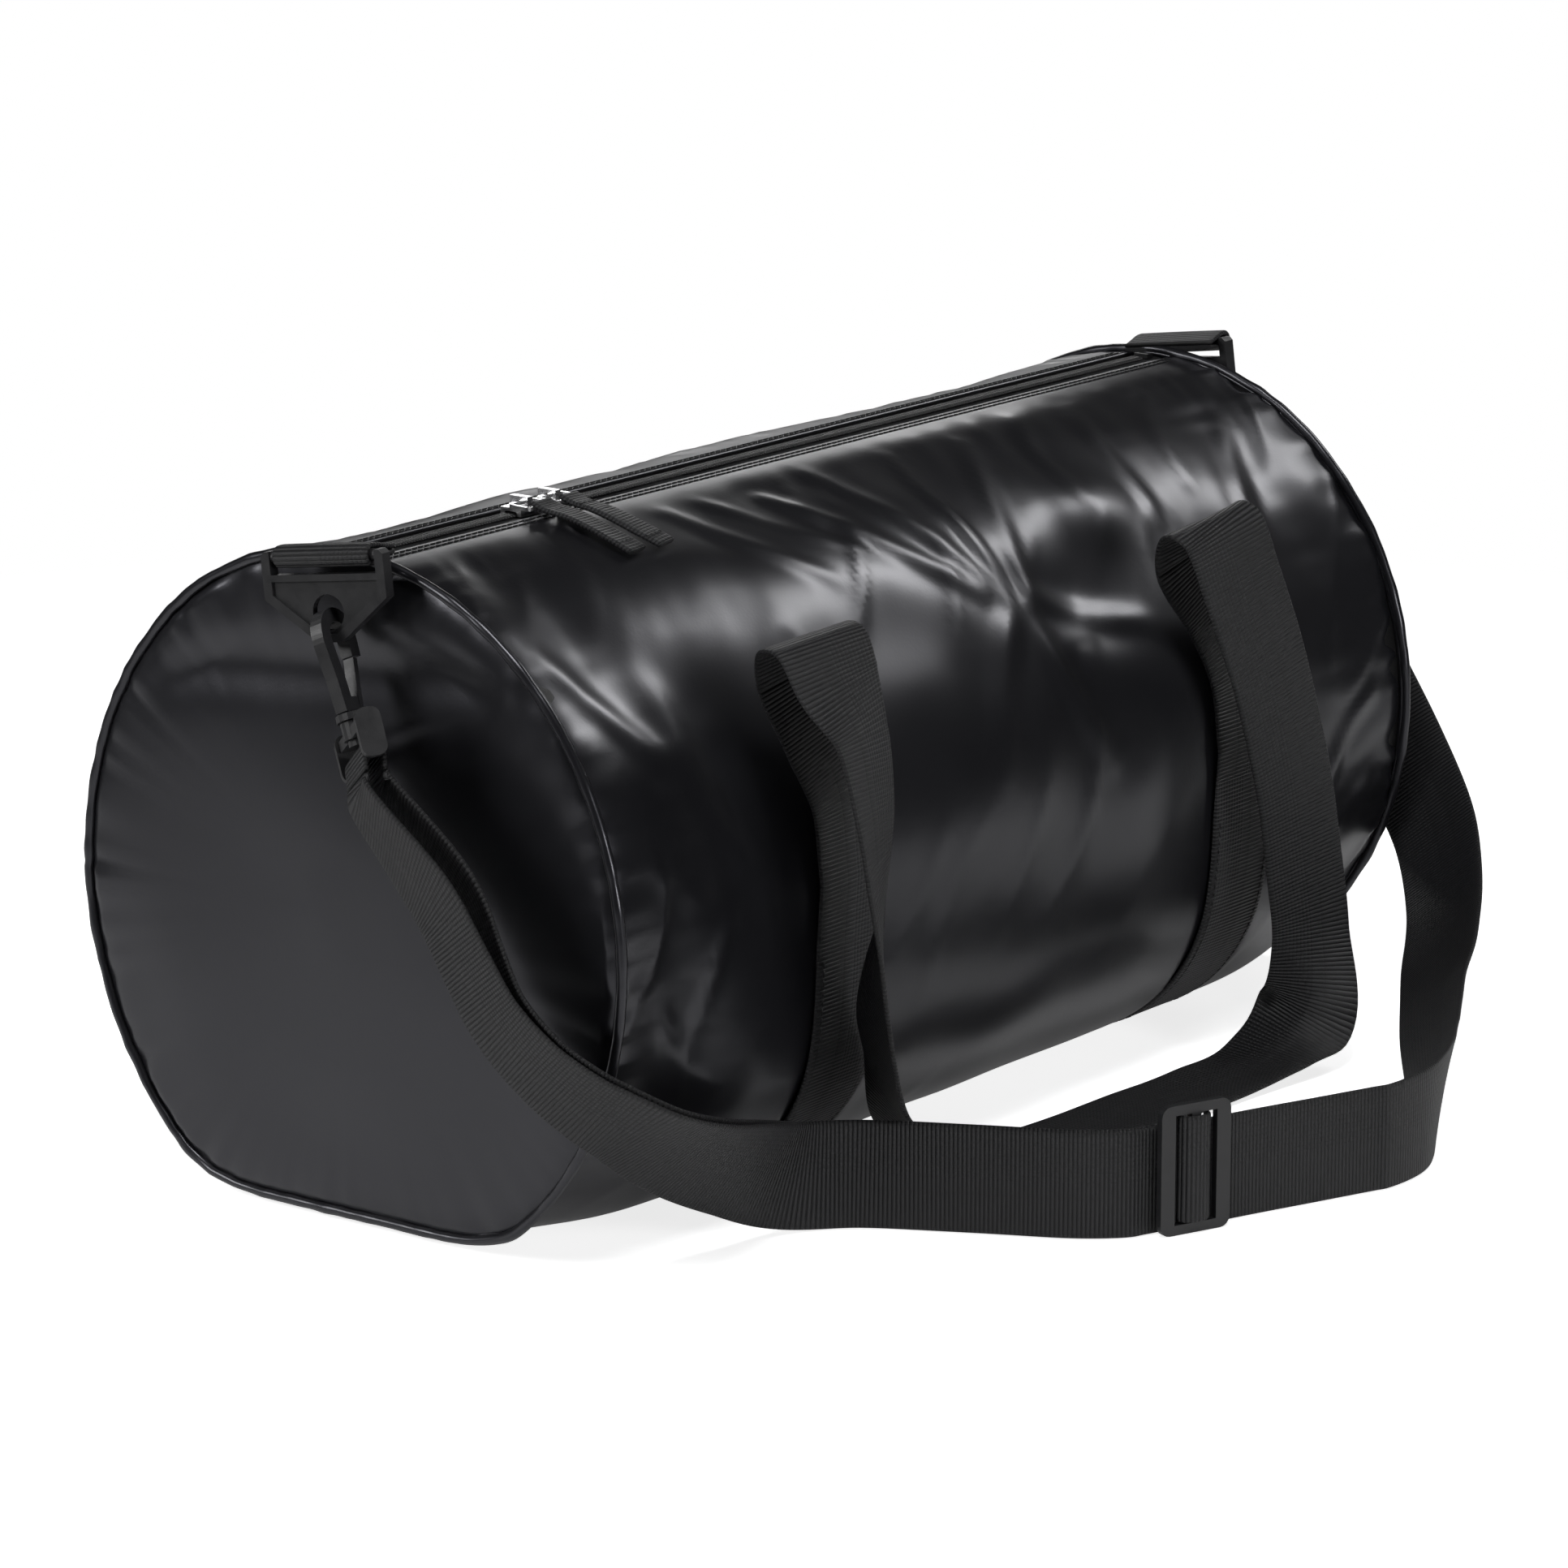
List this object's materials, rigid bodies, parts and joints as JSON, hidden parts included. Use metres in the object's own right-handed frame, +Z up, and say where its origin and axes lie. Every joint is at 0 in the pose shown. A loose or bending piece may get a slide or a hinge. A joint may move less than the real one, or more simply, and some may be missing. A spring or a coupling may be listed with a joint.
{
  "type": "duffel bag",
  "caption": "Barrel duffel bag of coated fabric with a two-way top zip, round ends, looped webbing carry handles and a detachable adjustable shoulder strap on snap hooks.",
  "frame": {"origin": "middle of the underside, on the floor it rests on", "axes": "+X along the bag, -Y its front, where the strap and zip pulls lie, +Z up"},
  "size_m": [0.5897, 0.4562, 0.2561],
  "materials": {
    "coated": "semi-gloss coated fabric with a fine grain",
    "webbing": "matt ribbed nylon webbing",
    "tape": "matt woven tape",
    "coil": "glossy nylon coil",
    "moulded": "satin moulded plastic",
    "steel": "bright plated metal"
  },
  "bodies": {
    "bag": {"body_panel": "coated", "end_panel_left": "coated", "end_panel_right": "coated", "end_piping_left": "coated", "end_piping_right": "coated", "seam_binding_left": "tape", "seam_binding_right": "tape", "zip_tape_front": "tape", "zip_tape_back": "tape", "zip_coil_front": "coil", "zip_coil_back": "coil", "zip_end_stop_left": "coil", "zip_end_stop_right": "coil", "ring_tab_left": "webbing", "ring_tab_right": "webbing", "handle_band_left": "webbing", "handle_band_right": "webbing", "strap_drop": "webbing", "strap_front": "webbing", "strap_rise": "webbing", "strap_return": "webbing"},
    "slider_left": {"zip_slider_left": "steel", "slider_plate_left": "steel"},
    "pull_left": {"pull_ring_left": "steel", "pull_tab_left": "tape"},
    "ring_left": {"strap_ring_left": "moulded"},
    "hook_left": {"snap_hook_left": "moulded"},
    "gate_left": {"hook_gate_left": "moulded"},
    "yoke_left": {"swivel_base_left": "moulded", "strap_loop_left": "webbing"},
    "slider_right": {"zip_slider_right": "steel", "slider_plate_right": "steel"},
    "pull_right": {"pull_ring_right": "steel", "pull_tab_right": "tape"},
    "ring_right": {"strap_ring_right": "moulded"},
    "hook_right": {"snap_hook_right": "moulded"},
    "gate_right": {"hook_gate_right": "moulded"},
    "yoke_right": {"swivel_base_right": "moulded", "strap_loop_right": "webbing"},
    "adjuster": {"strap_adjuster": "moulded", "adjuster_wrap": "webbing"},
    "handle_front": {"handle_front_fold_a": "webbing", "handle_front_strand_a": "webbing", "handle_front_slack": "webbing", "handle_front_strand_b": "webbing", "handle_front_fold_b": "webbing"},
    "handle_back": {"handle_back_fold_a": "webbing", "handle_back_strand_a": "webbing", "handle_back_slack": "webbing", "handle_back_strand_b": "webbing", "handle_back_fold_b": "webbing"}
  },
  "joints": [
    {"name": "slider_left_slide", "type": "slide", "parent": "bag", "child": "slider_left", "axis": [1, 0, 0], "range_m": [-0.082, 0]},
    {"name": "slider_right_slide", "type": "slide", "parent": "bag", "child": "slider_right", "axis": [1, 0, 0], "range_m": [0, 0.376]},
    {"name": "pull_left_hinge", "type": "hinge", "parent": "slider_left", "child": "pull_left", "pos_m": [-0.155, 0, 0.2496], "axis": [-1, 0, 0], "range_deg": [0, 150]},
    {"name": "pull_right_hinge", "type": "hinge", "parent": "slider_right", "child": "pull_right", "pos_m": [-0.139, 0, 0.2496], "axis": [-1, 0, 0], "range_deg": [0, 150]},
    {"name": "ring_left_hinge", "type": "hinge", "parent": "bag", "child": "ring_left", "pos_m": [-0.2685, -0.0048, 0.2496], "axis": [-0.1484, 0.9814, -0.1219], "range_deg": [0, 80], "deforming": ["strap_drop", "strap_return"]},
    {"name": "hook_left_hinge", "type": "hinge", "parent": "ring_left", "child": "hook_left", "pos_m": [-0.26872, -0.00834, 0.22132], "axis": [-0.1442, 0.9021, -0.4066], "range_deg": [0, 40], "deforming": ["strap_drop", "strap_return"]},
    {"name": "gate_left_hinge", "type": "hinge", "parent": "hook_left", "child": "gate_left", "pos_m": [-0.26975, -0.01998, 0.19588], "axis": [0.1442, -0.9021, 0.4066], "range_deg": [0, 12], "stiffness_Nm_per_rad": 0.01, "springref_deg": -11.46},
    {"name": "yoke_left_swivel", "type": "hinge", "parent": "hook_left", "child": "yoke_left", "pos_m": [-0.26872, -0.00834, 0.22132], "axis": [0.1533, 0.4263, 0.8915], "range_deg": [0, 65], "deforming": ["strap_drop", "strap_return"]},
    {"name": "ring_right_hinge", "type": "hinge", "parent": "bag", "child": "ring_right", "pos_m": [0.2685, -0.0048, 0.2496], "axis": [-0.1484, -0.9814, 0.1219], "range_deg": [0, 80], "deforming": ["strap_rise"]},
    {"name": "hook_right_hinge", "type": "hinge", "parent": "ring_right", "child": "hook_right", "pos_m": [0.26872, -0.00834, 0.22132], "axis": [-0.1442, -0.9021, 0.4066], "range_deg": [0, 40], "deforming": ["strap_rise"]},
    {"name": "gate_right_hinge", "type": "hinge", "parent": "hook_right", "child": "gate_right", "pos_m": [0.26975, -0.01998, 0.19588], "axis": [0.1442, 0.9021, -0.4066], "range_deg": [0, 12], "stiffness_Nm_per_rad": 0.01, "springref_deg": -11.46},
    {"name": "yoke_right_swivel", "type": "hinge", "parent": "hook_right", "child": "yoke_right", "pos_m": [0.26872, -0.00834, 0.22132], "axis": [-0.1533, 0.4263, 0.8915], "range_deg": [-65, 0], "deforming": ["strap_rise"]},
    {"name": "adjuster_slide", "type": "slide", "parent": "bag", "child": "adjuster", "axis": [0.9298, -0.368, 0], "range_m": [0, 0.06], "deforming": ["strap_front", "strap_return"]},
    {"name": "handle_front_hinge", "type": "hinge", "parent": "bag", "child": "handle_front", "pos_m": [0, -0.121, 0.22], "axis": [-1, 0, 0], "range_deg": [0, 175], "deforming": ["handle_front_fold_a", "handle_front_slack", "handle_front_fold_b", "strap_drop", "strap_front", "strap_rise", "strap_return"]},
    {"name": "handle_back_hinge", "type": "hinge", "parent": "bag", "child": "handle_back", "pos_m": [0, 0.128, 0.193], "axis": [1, 0, 0], "range_deg": [0, 175], "deforming": ["handle_back_fold_a", "handle_back_slack", "handle_back_fold_b"]}
  ]
}
